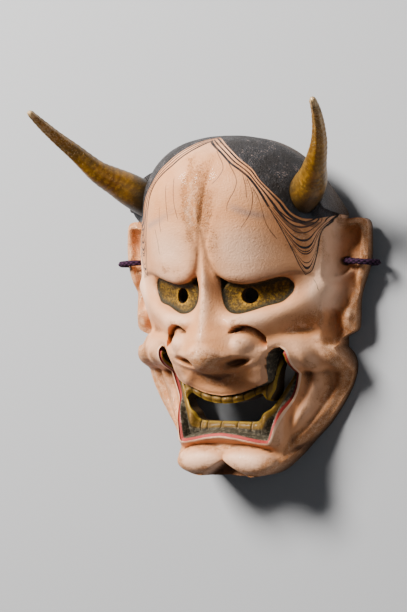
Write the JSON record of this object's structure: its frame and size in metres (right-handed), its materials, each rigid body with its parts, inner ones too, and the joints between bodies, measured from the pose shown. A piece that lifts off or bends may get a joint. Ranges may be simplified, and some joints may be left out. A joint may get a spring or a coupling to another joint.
{
  "type": "demon mask",
  "caption": "Horned female-demon theatre mask carved from wood and painted, hollow behind, with open mouth, pierced pupils and a carrying cord.",
  "frame": {"origin": "middle of the bounding box at the plane of the back rim", "axes": "+Z out of the face, +Y to the top of the head, +X to the viewer's right"},
  "size_m": [0.1958, 0.227, 0.1186],
  "materials": {
    "painted_face": "chalk paint over carved wood, satin, worn at the edges",
    "horn": "ochre lacquer, worn pale at the tips",
    "cord": "dark braided cord"
  },
  "bodies": {
    "root": {"mask_face": "painted_face", "horn_left": "horn", "horn_right": "horn", "carrying_cord": "cord"}
  },
  "joints": []
}
